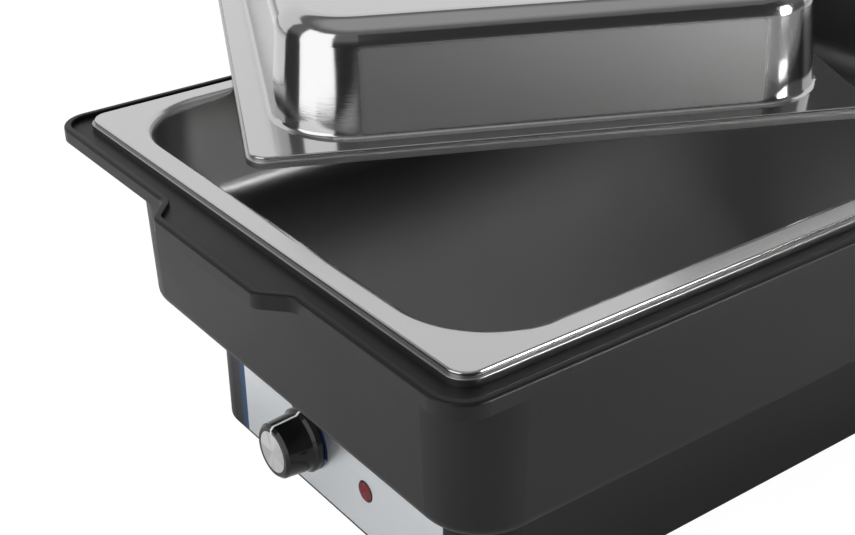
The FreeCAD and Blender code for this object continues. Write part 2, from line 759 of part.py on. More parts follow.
# ---------------------------------------------------------------- base
def base_housing():
    """Open-bottomed base: upright walls, screw posts to the trough, shorter posts for the floor."""
    body = new_body("base_housing")
    outline = new_sketch(body)
    add_outline(outline, "base_length", "base_width", "base_corner")
    pad(body, outline, "base_height")
    inside = new_sketch(body)
    add_outline(inside, "base_length - 2 * base_wall", "base_width - 2 * base_wall",
                "base_corner - base_wall")
    pocket(body, inside, "base_height", up=True)
    posts = new_sketch(body, height="floor_thick")
    for x, y in four_ways("post_x", "post_y"):
        add_circle(posts, x, y, "post_dia")
    pad(body, posts, "post_rise - floor_thick")
    through = new_sketch(body, height="floor_thick")
    for x, y in four_ways("post_x", "post_y"):
        add_circle(through, x, y, "housing_screw + 2 * hole_gap")
    pocket(body, through, "post_rise", up=True)
    counterbores = new_sketch(body, height="floor_thick")
    for x, y in four_ways("post_x", "post_y"):
        add_circle(counterbores, x, y, "housing_screw * 2 + 2 * hole_gap")
    pocket(body, counterbores, "post_rise - floor_thick - post_web", up=True)
    floor_posts = new_sketch(body, height="floor_thick")
    for x, y in four_ways("floor_post_x", "floor_post_y"):
        add_circle(floor_posts, x, y, "floor_post_dia")
    pad(body, floor_posts, "floor_post_rise")
    floor_drills = new_sketch(body, height="floor_thick")
    for x, y in four_ways("floor_post_x", "floor_post_y"):
        add_circle(floor_drills, x, y, "floor_screw + 2 * thread_gap")
    pocket(body, floor_drills, "floor_post_rise - 2 * floor_thick", up=True)
    plate_recess = new_sketch(body, height="plate_strip")
    outer_x = "-base_length / 2 - plate_thick"
    inner_x = "-base_length / 2 + plate_thick"
    add_polygon(plate_recess, [(outer_x, "-plate_width / 2"), (inner_x, "-plate_width / 2"),
                               (inner_x, "plate_width / 2"), (outer_x, "plate_width / 2")])
    pocket(body, plate_recess, "base_height", up=True)
    end_holes = new_sketch(body, "YZ_Plane", "-base_length / 2")
    add_circle(end_holes, "knob_side", "knob_rise", "bushing_dia + 2 * hole_gap")
    add_circle(end_holes, "lamp_side", "lamp_rise", "lamp_hole")
    pocket(body, end_holes, "base_wall", up=True)
    gland_hole = new_sketch(body, "YZ_Plane", "base_length / 2")
    add_circle(gland_hole, "0", "gland_rise", "gland_hole")
    pocket(body, gland_hole, "base_wall")
    place(body, z="foot_stand")


def base_floor():
    """Floor plate let into the bottom of the base, with a row of vent slots and holes for screws and feet."""
    body = new_body("base_floor")
    sheet_inset = "2 * (base_wall + floor_gap)"
    outline = new_sketch(body)
    add_outline(outline, f"base_length - {sheet_inset}", f"base_width - {sheet_inset}",
                "base_corner - base_wall - floor_gap")
    pad(body, outline, "floor_thick")
    holes = new_sketch(body)
    for x, y in four_ways("floor_post_x", "floor_post_y"):
        add_circle(holes, x, y, "floor_screw + 2 * hole_gap")
    for x, y in four_ways("foot_x", "foot_y"):
        add_circle(holes, x, y, "foot_plug + 2 * thread_gap")
    pocket(body, holes, "floor_thick", up=True)
    slot = new_sketch(body)
    slot.setExpression("AttachmentOffset.Base.x", bound("-(vent_count - 1) * vent_pitch / 2"))
    add_outline(slot, "vent_width", "vent_length", "vent_width * 0.45")
    cut = pocket(body, slot, "floor_thick", up=True)
    row = body.newObject("PartDesign::LinearPattern", "vent_row")
    row.Originals = [cut]
    row.Direction = (slot, ["H_Axis"])
    row.setExpression("Length", bound("(vent_count - 1) * vent_pitch"))
    row.setExpression("Occurrences", bound("vent_count"))
    body.Tip = row
    doc.recompute()
    place(body, z="foot_stand")


def feet():
    """Rubber feet whose plugs snap through the floor plate."""
    ends = (("front", "-"), ("rear", ""))
    sides = (("left", ""), ("right", "-"))
    for end, end_sign in ends:
        for side, side_sign in sides:
            foot = new_body(f"foot_{end}_{side}")
            revolve(foot, (("0", "-foot_stand"), ("foot_dia / 2 - 1", "-foot_stand"), ("foot_dia / 2", "0"),
                           ("foot_plug / 2", "0"), ("foot_plug / 2", "floor_thick"),
                           ("foot_plug / 2 + 1", "floor_thick"), ("foot_plug / 2 - 1", "floor_thick * 2.5"),
                           ("0", "floor_thick * 2.5")))
            place(foot, f"{end_sign}foot_x", f"{side_sign}foot_y", "foot_stand")


def base_fasteners():
    def housing_screw(name):
        return pan_head(name, "housing_screw", "post_web + boss_drop - boss_floor - 2")

    def floor_screw(name):
        return pan_head(name, "floor_screw", "floor_thick + floor_post_rise - 3 * floor_thick")

    posts = [(x, y, "foot_stand + post_rise - post_web", None) for x, y in four_ways("post_x", "post_y")]
    repeated("housing_screws", housing_screw, posts)
    corners = [(x, y, "foot_stand", None) for x, y in four_ways("floor_post_x", "floor_post_y")]
    repeated("floor_screws", floor_screw, corners)


# ---------------------------------------------------------------- control end
OUT_OF_PLATE = FreeCAD.Rotation(V(0, 1, 0), -90)
OUT_OF_BACK = FreeCAD.Rotation(V(0, 1, 0), 90)


def control_plate():
    """Flat plate let flush into the end wall."""
    body = new_body("control_plate")
    face = new_sketch(body, "YZ_Plane", "-base_length / 2")
    low = "plate_strip"
    high = "base_height"
    add_polygon(face, [("-plate_width / 2", low), ("plate_width / 2", low),
                       ("plate_width / 2", high), ("-plate_width / 2", high)])
    add_circle(face, "knob_side", "knob_rise", "bushing_dia + 2 * hole_gap")
    add_circle(face, "lamp_side", "lamp_rise", "lamp_hole")
    pad(body, face, "plate_thick")
    place(body, z="foot_stand")


def place_knob(part):
    place(part, "-base_length / 2 - knob_gap", "knob_side", "foot_stand + knob_rise", OUT_OF_PLATE)


def knob_profile(inset="0", back="0", front="cap_dia / 2"):
    """The knob's outside from its back to its cap, as (radius, height), moved in by one inset."""
    return [(f"skirt_dia / 2 - ({inset})", back),
            (f"skirt_dia / 2 - ({inset})", f"skirt_thick - ({inset})"),
            (f"knob_root / 2 - ({inset})", f"skirt_thick + knob_chamfer - ({inset})"),
            (f"knob_face / 2 - ({inset})", "knob_length - knob_chamfer"),
            (f"knob_face / 2 - knob_chamfer - ({inset}) / 2", f"knob_length - ({inset})"),
            (front, f"knob_length - ({inset})")]


def pointer_strip(name, stand, back, front):
    """A strip that follows the knob's outside from the skirt to the cap and stands a little out of it."""
    body = doc.addObject("PartDesign::Body", name)
    body.Label = name
    side = new_sketch(body, "XZ_Plane")
    outer = knob_profile(f"-{stand}", back, front)
    inner = knob_profile("pointer_depth", back, front)
    add_polygon(side, outer + inner[::-1])
    strip = pad(body, side, "pointer_width")
    strip.Midplane = True
    doc.recompute()
    return body


def control_knob():
    """Turned knob: skirt, tapered grip, recess for the cap, hollow back and a bore for the shaft."""
    body = new_body("control_knob")
    outside = knob_profile()
    inside = [("cap_dia / 2", "knob_length - cap_thick"), ("0", "knob_length - cap_thick"),
              ("0", "knob_bore_deep"), ("shaft_dia / 2", "knob_bore_deep"),
              ("shaft_dia / 2", "knob_hollow_deep"), ("knob_hollow / 2", "knob_hollow_deep"),
              ("knob_hollow / 2", "0")]
    revolve(body, outside + inside)
    carve(body, pointer_strip("pointer_slot", "slot_over", "-slot_over", "cap_dia / 2 - slot_over / 2"))
    place_knob(body)


def knob_pointer():
    pointer = pointer_strip("knob_pointer", "pointer_proud", "0", "cap_dia / 2 + pointer_proud")
    nodes.append(pointer)
    place_knob(pointer)


def knob_cap():
    body = new_body("knob_cap")
    revolve(body, (("0", "knob_length - cap_thick"), ("cap_dia / 2", "knob_length - cap_thick"),
                   ("cap_dia / 2", "knob_length"), ("0", "knob_length")))
    place_knob(body)


def thermostat():
    """Thermostat held by its bushing and a nut under the knob; its shaft turns in the bushing."""
    body = new_body("thermostat_body")
    face = new_sketch(body)
    add_outline(face, "stat_height", "stat_width", "stat_corner")
    pad(body, face, "stat_depth", up=False)
    bushing = new_sketch(body)
    add_circle(bushing, "0", "0", "bushing_dia")
    pad(body, bushing, "base_wall + bushing_stand")
    bore = new_sketch(body, height="base_wall + bushing_stand")
    add_circle(bore, "0", "0", "shaft_dia + 2 * shaft_fit")
    pocket(body, bore, "base_wall + bushing_stand + shaft_seat")
    inner_face = "-base_length / 2 + base_wall"
    place(body, inner_face, "knob_side", "foot_stand + knob_rise", OUT_OF_PLATE)
    shaft = doc.addObject("Part::Cylinder", "thermostat_shaft")
    shaft.Label = "thermostat_shaft"
    shaft.setExpression("Radius", bound("shaft_dia / 2"))
    shaft.setExpression("Height", bound("shaft_seat - shaft_end_gap + base_wall + knob_gap + knob_bore_deep"))
    nodes.append(shaft)
    place(shaft, f"{inner_face} + shaft_seat - shaft_end_gap", "knob_side", "foot_stand + knob_rise",
          OUT_OF_PLATE)
    nut = hex_nut("thermostat_nut", "nut_flats", "nut_thick", "bushing_dia")
    place(nut, "-base_length / 2", "knob_side", "foot_stand + knob_rise", OUT_OF_PLATE)


def pilot_lamp():
    """Flush lens through plate and wall, its collar and lamp body behind the wall."""
    lens = new_body("lamp_lens")
    revolve(lens, (("0", "-base_wall - lamp_flange"), ("lamp_collar / 2", "-base_wall - lamp_flange"),
                   ("lamp_collar / 2", "-base_wall"), ("lamp_dia / 2", "-base_wall"),
                   ("lamp_dia / 2", "0"), ("lamp_dia / 2 - lamp_proud", "lamp_proud"), ("0", "lamp_proud")))
    place(lens, "-base_length / 2", "lamp_side", "foot_stand + lamp_rise", OUT_OF_PLATE)
    holder = new_body("lamp_body")
    back = "-base_wall - lamp_flange"
    revolve(holder, (("0", f"{back} - lamp_length"), ("lamp_dia / 2 - 1", f"{back} - lamp_length"),
                     ("lamp_dia / 2", f"{back} - lamp_length / 2"), ("lamp_dia / 2", back), ("0", back)))
    for side in ("", "-"):
        blade = new_sketch(holder, height=f"{back} - lamp_length")
        near = f"{side}(lamp_dia / 8)"
        far = f"{side}(lamp_dia / 8 + blade_thick)"
        add_polygon(blade, [(near, "-blade_width / 2"), (far, "-blade_width / 2"),
                            (far, "blade_width / 2"), (near, "blade_width / 2")])
        pad(holder, blade, "blade_length", up=False)
    place(holder, "-base_length / 2", "lamp_side", "foot_stand + lamp_rise", OUT_OF_PLATE)


# ---------------------------------------------------------------- heater
def heater_gasket():
    body = new_body("heater_gasket")
    ring = new_sketch(body, height="trough_wall")
    add_outline(ring, "heat_length + 2 * heat_flange", "heat_width + 2 * heat_flange",
                "heat_corner + heat_flange")
    add_outline(ring, "heat_length", "heat_width", "heat_corner")
    pad(body, ring, "gasket_thick")
    place(body, z="trough_z")


def heater_plate():
    """Shallow steel dish let through the floor of the trough, with four studs welded under it."""
    body = new_body("heater_plate")
    rim = new_sketch(body, height="plate_seat")
    add_outline(rim, "heat_length + 2 * heat_flange", "heat_width + 2 * heat_flange",
                "heat_corner + heat_flange")
    pad(body, rim, "heat_sheet")
    dish = new_sketch(body, height="plate_seat")
    add_outline(dish, "dish_length", "dish_width", "dish_corner")
    sunk = pad(body, dish, "plate_seat + heat_sink", up=False)
    round_edges(body, level_edges(sunk, -number("heat_sink")), "heat_sheet * 1.5")
    inside = new_sketch(body, height="plate_seat + heat_sheet")
    add_outline(inside, "dish_length - 2 * heat_sheet", "dish_width - 2 * heat_sheet",
                "dish_corner - heat_sheet")
    pocket(body, inside, "plate_seat + heat_sink")
    studs = new_sketch(body, height="-heat_sink")
    for x, y in four_ways("clamp_x", "stud_y"):
        add_circle(studs, x, y, "stud_dia")
    pad(body, studs, "tube_dia + clamp_thick + stud_dia", up=False)
    place(body, z="trough_z")


def heating_element():
    """Sheathed tube in four legs under the dish."""
    body = new_body("heating_element")
    level = "-heat_sink - tube_dia / 2"
    path = new_sketch(body, height=level)
    half = number("tube_half")
    pitch = number("tube_pitch")
    tail = number("tube_tail")
    legs = []
    bends = []
    for index in range(4):
        y = (index - 1.5) * pitch
        left = -half - (tail if index in (0, 3) else 0)
        ends = (V(left, y, 0), V(half, y, 0))
        legs.append(path.addGeometry(Part.LineSegment(*ends), False))
    for index in range(3):
        right = index % 2 == 0
        centre = V(half if right else -half, (index - 1) * pitch, 0)
        start = -math.pi / 2 if right else math.pi / 2
        bend = Part.ArcOfCircle(Part.Circle(centre, V(0, 0, 1), pitch / 2), start, start + math.pi)
        bends.append(path.addGeometry(bend, False))
    for index, bend in enumerate(bends):
        leg_end = 2 if index % 2 == 0 else 1
        first, second = (1, 2) if index % 2 == 0 else (2, 1)
        path.addConstraint(Sketcher.Constraint("Tangent", legs[index], leg_end, bend, first))
        path.addConstraint(Sketcher.Constraint("Tangent", bend, second, legs[index + 1], leg_end))
    path.addConstraint(Sketcher.Constraint("Horizontal", legs[0]))
    fix(path, Sketcher.Constraint("Radius", bends[0], pitch / 2), "tube_pitch / 2")
    for bend in bends[1:]:
        path.addConstraint(Sketcher.Constraint("Equal", bends[0], bend))
    tail_end = "-tube_half - tube_tail"
    fix_point(path, legs[0], 1, V(-half - tail, -1.5 * pitch, 0), (tail_end, "-1.5 * tube_pitch"))
    for leg, end, x, text in ((legs[0], 2, half, "tube_half"), (legs[1], 1, -half, "-tube_half"),
                              (legs[2], 2, half, "tube_half"), (legs[3], 1, -half - tail, tail_end)):
        fix(path, Sketcher.Constraint("DistanceX", -1, 1, leg, end, x), text)
    section = new_sketch(body, "YZ_Plane", tail_end)
    add_circle(section, "-1.5 * tube_pitch", level, "tube_dia")
    doc.recompute()
    tube = body.newObject("PartDesign::AdditivePipe", "element_tube")
    tube.Profile = section
    tube.Spine = (path, [f"Edge{index}" for index in range(1, 8)])
    doc.recompute()
    place(body, z="trough_z")


def element_terminals():
    def terminal(name):
        body = new_body(name)
        revolve(body, (("0", "0"), ("tube_dia / 2", "0"), ("tube_dia / 2", "tube_dia / 2"),
                       ("tube_dia / 4", "tube_dia / 2"), ("tube_dia / 4", "terminal_length"),
                       ("0", "terminal_length")))
        return body

    places = [("-tube_half - tube_tail", f"{sign}1.5 * tube_pitch", "trough_z - heat_sink - tube_dia / 2",
               OUT_OF_PLATE) for sign in ("", "-")]
    repeated("element_terminals", terminal, places)


def mirrored(points):
    return [(f"-({x})", y) for x, y in points]


def clamp_bars():
    """Two joggled bars that bear on the trough beside the opening and press the element to the dish."""
    low = "-heat_sink - tube_dia"
    out = "heat_width / 2 + heat_flange"
    knee = "heat_width / 2 + clamp_thick"
    toe = "dish_width / 2 - clamp_thick"
    upper = [(out, "0"), (knee, "0"), (toe, low)]
    lower = [(out, "-clamp_thick"), (f"{knee} + clamp_thick / 2", "-clamp_thick"),
             (toe, f"{low} - clamp_thick")]
    profile = upper + mirrored(upper)[::-1] + mirrored(lower) + lower[::-1]
    for name, sign in (("clamp_bar_front", "-"), ("clamp_bar_rear", "")):
        body = new_body(name)
        side = new_sketch(body, "YZ_Plane", f"{sign}clamp_x - clamp_width / 2")
        add_polygon(side, profile)
        pad(body, side, "clamp_width")
        holes = new_sketch(body, height=low)
        for y in ("stud_y", "-stud_y"):
            add_circle(holes, f"{sign}clamp_x", y, "stud_dia + 2 * hole_gap")
        pocket(body, holes, "clamp_thick")
        place(body, z="trough_z")


def clamp_nuts():
    def nut(name):
        return hex_nut(name, "stud_dia * 1.6", "stud_dia * 0.8", "stud_dia + 2 * thread_gap")

    level = "trough_z - heat_sink - tube_dia - clamp_thick - stud_dia * 0.8"
    repeated("clamp_nuts", nut, [(x, y, level, None) for x, y in four_ways("clamp_x", "stud_y")])


def thermal_cutout():
    """Safety cut-out pressed to the middle of the dish, two blades below it."""
    body = new_body("thermal_cutout")
    disc = new_sketch(body, height="-heat_sink")
    add_circle(disc, "0", "0", "cutout_dia")
    pad(body, disc, "cutout_thick", up=False)
    for side in ("", "-"):
        blade = new_sketch(body, height="-heat_sink - cutout_thick")
        near = f"{side}(cutout_dia / 4)"
        far = f"{side}(cutout_dia / 4 + blade_thick)"
        add_polygon(blade, [(near, "-blade_width / 2"), (far, "-blade_width / 2"),
                            (far, "blade_width / 2"), (near, "blade_width / 2")])
        pad(body, blade, "blade_length", up=False)
    place(body, z="trough_z")


def bent_wire(points, bend):
    """Straight runs joined by tangent arcs of one radius."""
    edges = []
    start = points[0]
    for before, corner, after in zip(points, points[1:], points[2:]):
        into = (before - corner).normalize()
        away = (after - corner).normalize()
        half_turn = into.getAngle(away) / 2
        cut = bend / math.tan(half_turn)
        arc_start = corner + into * cut
        arc_end = corner + away * cut
        middle_way = (into + away).normalize()
        arc_middle = corner + middle_way * (bend / math.sin(half_turn) - bend)
        edges.append(Part.LineSegment(start, arc_start).toShape())
        edges.append(Part.Arc(arc_start, arc_middle, arc_end).toShape())
        start = arc_end
    edges.append(Part.LineSegment(start, points[-1]).toShape())
    return Part.Wire(edges)


def sensor_tube():
    """The thermostat's bulb under the dish and its capillary, down and under the clamp bar to the thermostat."""
    bulb_r = number("bulb_dia / 2")
    side = number("stud_y")
    bulb_z = number("-heat_sink - bulb_dia / 2")
    bulb_start = number("-clamp_x + clamp_width / 2 + bulb_gap")
    stat_back = number("-base_length / 2 + base_wall + stat_depth")
    stat_z = number("knob_rise - base_height")
    bulb = Part.makeCylinder(bulb_r, number("bulb_length"), V(bulb_start, side, bulb_z), V(1, 0, 0))
    down_x = bulb_start - number("bulb_gap / 2")
    route = [V(bulb_start, side, bulb_z), V(down_x, side, bulb_z), V(down_x, side, stat_z),
             V(stat_back, side, stat_z)]
    wire = bent_wire(route, number("capillary_bend"))
    ring = Part.Wire(Part.makeCircle(number("capillary_dia / 2"), route[0], V(-1, 0, 0)))
    tube = wire.makePipeShell([ring], True, False)
    feature = doc.addObject("Part::Feature", "sensor_tube")
    feature.Label = "sensor_tube"
    feature.Shape = bulb.fuse(tube).removeSplitter()
    nodes.append(feature)
    place(feature, z="trough_z")


def sensor_clip():
    """Saddle whose two cheeks reach the dish on either side of the bulb."""
    middle = "-clamp_x + clamp_width / 2 + bulb_gap + bulb_length / 2"
    bulb_z = "-heat_sink - bulb_dia / 2"
    body = new_body("sensor_clip")
    side = new_sketch(body, "YZ_Plane", f"{middle} - clip_width / 2")
    cheek = "bulb_dia / 2 + clip_wall"
    low = f"{bulb_z} - {cheek}"
    add_polygon(side, [(f"stud_y - {cheek}", low), (f"stud_y + {cheek}", low),
                       (f"stud_y + {cheek}", "-heat_sink"), (f"stud_y - {cheek}", "-heat_sink")])
    pad(body, side, "clip_width")
    groove = new_sketch(body, "YZ_Plane", f"{middle} - clip_width / 2")
    add_circle(groove, "stud_y", bulb_z, "bulb_dia")
    pocket(body, groove, "clip_width", up=True)
    gap = new_sketch(body, "YZ_Plane", f"{middle} - clip_width / 2")
    add_polygon(gap, [("stud_y - bulb_dia / 2", bulb_z), ("stud_y + bulb_dia / 2", bulb_z),
                      ("stud_y + bulb_dia / 2", "-heat_sink + clip_wall"),
                      ("stud_y - bulb_dia / 2", "-heat_sink + clip_wall")])
    pocket(body, gap, "clip_width", up=True)
    place(body, z="trough_z")


# ---------------------------------------------------------------- mains side
def terminal_block():
    """Three-way block screwed to the floor plate, with its wire entries on both long sides."""
    body = new_body("terminal_block")
    foot = new_sketch(body, height="floor_thick")
    add_outline(foot, "block_length", "block_width", "block_corner")
    pad(body, foot, "block_height")
    entries = new_sketch(body, "XZ_Plane", "-block_width / 2")
    for step in (-1, 0, 1):
        add_circle(entries, f"{step} * block_length / 3", "floor_thick + block_height / 3", "block_entry")
    pocket(body, entries, "block_width", up=True)
    screws = new_sketch(body, height="floor_thick + block_height")
    for step in (-1, 0, 1):
        for y in ("block_width / 4", "-block_width / 4"):
            add_circle(screws, f"{step} * block_length / 3", y, "block_entry")
    pocket(body, screws, "block_height / 2")
    place(body, "block_x", "block_y", "foot_stand")


def cable_gland():
    """Gland for the mains lead in the rear wall: flange and nose outside, barrel and nut inside."""
    body = new_body("cable_gland")
    bore = "gland_bore / 2"
    barrel = "gland_hole / 2 - hole_gap"
    revolve(body, ((bore, "-base_wall - gland_tail"), (barrel, "-base_wall - gland_tail"), (barrel, "0"),
                   ("gland_head / 2", "0"), ("gland_head / 2", "gland_flange"),
                   ("gland_head / 2 - gland_flange", "gland_nose"), (bore, "gland_nose")))
    place(body, "base_length / 2", "0", "foot_stand + gland_rise", OUT_OF_BACK)
    nut = hex_nut("gland_nut", "gland_head * 0.9", "gland_flange", "gland_hole - 2 * hole_gap")
    place(nut, "base_length / 2 - base_wall - gland_flange", "0", "foot_stand + gland_rise", OUT_OF_BACK)


# ---------------------------------------------------------------- build and write
def build():
    water_trough()
    food_pan()
    lid_shell()
    lid_handle()
    lid_fasteners()
    base_housing()
    base_floor()
    feet()
    base_fasteners()
    control_plate()
    control_knob()
    knob_cap()
    knob_pointer()
    thermostat()
    pilot_lamp()
    heater_gasket()
    heater_plate()
    heating_element()
    element_terminals()
    clamp_bars()
    clamp_nuts()
    thermal_cutout()
    sensor_tube()
    sensor_clip()
    terminal_block()
    cable_gland()
    doc.removeObject(scratch.Name)
    doc.recompute()


def write_nodes():
    """Check every object and every sub-part, then write one STEP file for each."""
    for thing in doc.Objects:
        if {"Invalid", "Error"} & set(thing.State):
            raise RuntimeError(f"{thing.Name} failed: {thing.State}")
    os.makedirs("parts", exist_ok=True)
    for part in nodes:
        shape = part.Shape
        if shape.isNull() or not shape.isValid() or not shape.Solids:
            raise RuntimeError(f"{part.Label} has no valid solid")
        shape.exportStep(f"parts/{part.Label}.step")
        print(part.Label, len(shape.Solids), "solid(s)", round(shape.Volume), "mm3")


build()
write_nodes()
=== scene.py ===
# %% [markdown]
# # An electric food warmer tray
# The tray is a black moulded trough that stands on a low housing. A stepped steel pan hangs in the trough,
# and a polished steel lid lies across one end of it. The solids come ready from the CAD model, with their
# rounded edges, so this lesson gives them their surfaces. It mixes one finish for each material, prints the
# control plate, and builds the set of lamps and cards that the steel mirrors. Everything is in metres, and
# the origin is on the table under the middle of the housing.

# %% Load the solids and measure them
from math import cos, radians, sin

import bpy
from mathutils import Matrix, Vector


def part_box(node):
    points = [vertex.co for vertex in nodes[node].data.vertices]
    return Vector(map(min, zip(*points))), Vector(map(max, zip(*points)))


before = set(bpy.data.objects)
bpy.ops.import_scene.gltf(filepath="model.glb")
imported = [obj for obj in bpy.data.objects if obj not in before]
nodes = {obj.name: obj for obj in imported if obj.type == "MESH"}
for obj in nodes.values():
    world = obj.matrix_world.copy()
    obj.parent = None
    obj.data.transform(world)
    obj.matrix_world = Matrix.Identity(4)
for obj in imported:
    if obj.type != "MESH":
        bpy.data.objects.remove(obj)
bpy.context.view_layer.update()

# %% [markdown]
# ## Arithmetic that builds nodes
# A finish is mostly sums: a mask times a colour change, or one minus a mask. Wiring each sum by hand is
# slow to read, so a small class wraps a socket and lets Python's own signs add the Math nodes. Every other
# node comes from one method that takes the node's type, its settings and its inputs.

# %% A socket that can be added and multiplied
class Level:
    """A socket whose value changes over a surface. Python's signs on it add Math nodes."""

    def __init__(self, bench, socket):
        self.bench = bench
        self.socket = socket

    def math(self, operation, *inputs):
        return self.bench.add("ShaderNodeMath", {"operation": operation}, dict(enumerate(inputs)))

    def __add__(self, other):
        return self.math("ADD", self, other)

    def __radd__(self, other):
        return self.math("ADD", other, self)

    def __sub__(self, other):
        return self.math("SUBTRACT", self, other)

    def __rsub__(self, other):
        return self.math("SUBTRACT", other, self)

    def __mul__(self, other):
        return self.math("MULTIPLY", self, other)

    def __rmul__(self, other):
        return self.math("MULTIPLY", other, self)

    def __truediv__(self, other):
        return self.math("DIVIDE", self, other)

    def __gt__(self, other):
        return self.math("GREATER_THAN", self, other)

    def __lt__(self, other):
        return self.math("LESS_THAN", self, other)

    def __abs__(self):
        return self.math("ABSOLUTE", self)

    def atan2(self, other):
        return self.math("ARCTAN2", self, other)

    def ramp(self, low, high):
        """0 below low, 1 above high, and a smooth rise between them."""
        return self.bench.add("ShaderNodeMapRange", {"interpolation_type": "SMOOTHSTEP"},
                              {"Value": self, "From Min": low, "From Max": high})

    def between(self, low, high):
        """A value that goes from low to high as this one goes from 0 to 1."""
        return low + self * (high - low)


# %% The bench that nodes are laid out on
class Bench:
    """A node tree that nodes are added to by type. A bare one starts without Blender's own nodes."""

    def __init__(self, owner, bare=False):
        owner.use_nodes = True
        self.tree = owner.node_tree
        if bare:
            self.tree.nodes.clear()

    def plug(self, socket, value):
        if isinstance(value, Level):
            self.tree.links.new(value.socket, socket)
        else:
            socket.default_value = value

    def add(self, kind, settings=None, inputs=None, output=0):
        """A node of this kind. Settings are set first; inputs are plain values or other nodes' levels."""
        node = self.tree.nodes.new(kind)
        for name, value in (settings or {}).items():
            setattr(node, name, value)
        for name, value in (inputs or {}).items():
            self.plug(node.inputs[name], value)
        return Level(self, node.outputs[output]) if node.outputs else None

    def parts(self, vector, letters="XYZ"):
        """The coordinates of a vector, one for each letter."""
        return [self.add("ShaderNodeSeparateXYZ", {}, {"Vector": vector}, output=n) for n in letters]

    def length(self, vector):
        return self.add("ShaderNodeVectorMath", {"operation": "LENGTH"}, {0: vector}, output="Value")


# %% A finish made on a bench
class Finish(Bench):
    """A material whose shader is Principled, with helpers for what a surface needs."""

    def __init__(self, name, metallic=0.0, specular=0.5):
        self.material = bpy.data.materials.new(name)
        super().__init__(self.material)
        self.shader = self.tree.nodes["Principled BSDF"]
        self.wear("Metallic", metallic)
        self.wear("Specular IOR Level", specular)

    def wear(self, socket, value):
        """Sets or drives one of the shader's sockets."""
        self.plug(self.shader.inputs[socket], value)

    def place(self, centre=(0, 0, 0), scale=(1, 1, 1)):
        """Object coordinates, measured from a centre and stretched."""
        shift = [-c * s for c, s in zip(centre, scale)]
        start = self.add("ShaderNodeTexCoord", output="Object")
        return self.add("ShaderNodeMapping", {}, {"Vector": start, "Location": shift, "Scale": scale})

    def off_axis(self, centre):
        """The distance from a line along X through this centre."""
        return self.length(self.place(centre, scale=(0, 1, 1)))

    def noise(self, per_metre, detail, stretch=(1, 1, 1)):
        """Even noise about 0.5, with this many features per metre."""
        inputs = {"Vector": self.place(scale=stretch), "Scale": per_metre, "Detail": detail}
        return self.add("ShaderNodeTexNoise", {}, inputs)

    def mix(self, mask, first, second):
        """A colour that goes from first to second as the mask rises."""
        # The Mix node's colour sockets are its inputs 6 and 7 and its output 2.
        return self.add("ShaderNodeMix", {"data_type": "RGBA"}, {0: mask, 6: first, 7: second}, output=2)

    def bump(self, height, distance, strength=1.0):
        """Turns a height into the shader's normal; distance is in metres."""
        inputs = {"Height": height, "Distance": distance, "Strength": strength}
        self.wear("Normal", self.add("ShaderNodeBump", {}, inputs))


def tint(colour, strength=1.0):
    """A colour made darker or lighter, as Blender takes it."""
    return (*[strength * c for c in colour], 1.0)


def grey(value):
    return tint((1, 1, 1), value)


print("a middle grey:", grey(0.5))

# %% [markdown]
# ## Black moulded plastic
# The trough and the housing are one black plastic with a very fine grain, so it looks satin, not glossy.
# The grain could be modelled or painted, but it is far smaller than a pixel from here. So it is a bump a
# few hundredths of a millimetre high, and a slow noise changes the roughness a little, as handling and
# moulding do.

# %% The trough's and the housing's plastic
def moulded_plastic(name, shade, roughness, grain=1400, grain_height=0.00004):
    """Plastic of one grey; the grain is in features per metre."""
    finish = Finish(name, specular=0.22)
    clouds = finish.noise(per_metre=26, detail=3)
    finish.wear("Roughness", clouds.between(roughness - 0.05, roughness + 0.05))
    finish.wear("Base Color", finish.mix(clouds, grey(0.93 * shade), grey(1.07 * shade)))
    finish.bump(finish.noise(grain, detail=2), grain_height)
    print("mixed:", name)
    return finish


black_plastic = moulded_plastic("black_moulded_plastic", 0.0055, 0.42)

# %% [markdown]
# ## Stainless steel, satin and mirror
# The pan is pressed from brushed sheet. The flat of its rim is smooth and bright, and all that lies deeper,
# its inside and its turned-down edge, is satin, so one metal needs a roughness that changes with depth. The
# same depth mask darkens the colour there as well, which is painted shade. The brushing is long thin noise
# along the sheet.
#
# The lid is polished. Its top and its rounded corners are mirrors, where only a slow wave of the sheet and
# fine level hair lines break the picture. Its turned-down edge is satin, and the flat stretches of its
# walls are buffed, and their colour is a lighter grey, painted light that brings them to an even grey. They
# could be materials of their own, but then the polish would end at a hard line. So one finish measures the
# lid along its own sides and fades from one to the other.

# %% The pan's brushed steel
LIP_END = 0.0006  # the smooth flat of the rim ends this far below its top
SATIN_START = 0.003  # and all is satin from here down
rim_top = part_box("food_pan")[1].z

pan_steel = Finish("pan_satin_steel", metallic=1.0)
height = pan_steel.parts(pan_steel.place(), "Z")[0]
# Below the rim's flat the steel is satin, and its colour carries painted shade.
satin_and_painted_shade = (rim_top - height).ramp(LIP_END, SATIN_START)
brushing = pan_steel.noise(per_metre=900, detail=3, stretch=(0.03, 1, 0.35))
pan_steel.wear("Roughness", satin_and_painted_shade.between(0.17, 0.36) + brushing * 0.05)
# Painted shade: the inside and the turned-down edge get a darker grey than the flat of the rim.
pan_steel.wear("Base Color", pan_steel.mix(satin_and_painted_shade, grey(0.52), grey(0.28)))
pan_steel.bump(brushing, distance=0.000012, strength=0.6)
print("pan's rim at", round(rim_top, 4))

# %% Where the lid lies
LID_TURN = radians(63.8)  # how far the lid's long side is turned from the pan's
lid_low, lid_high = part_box("lid_shell")
lid_foot = ((lid_low.x + lid_high.x) / 2, (lid_low.y + lid_high.y) / 2, lid_low.z)

lid_steel = Finish("lid_mirror_steel", metallic=1.0)
turned_back = lid_steel.add("ShaderNodeMapping", {"vector_type": "TEXTURE"},
                            {"Vector": lid_steel.place(lid_foot), "Rotation": (0, 0, LID_TURN)})
lid_length, lid_width, lid_height = lid_steel.parts(turned_back)
print("lid's foot at", [round(v, 4) for v in lid_foot])
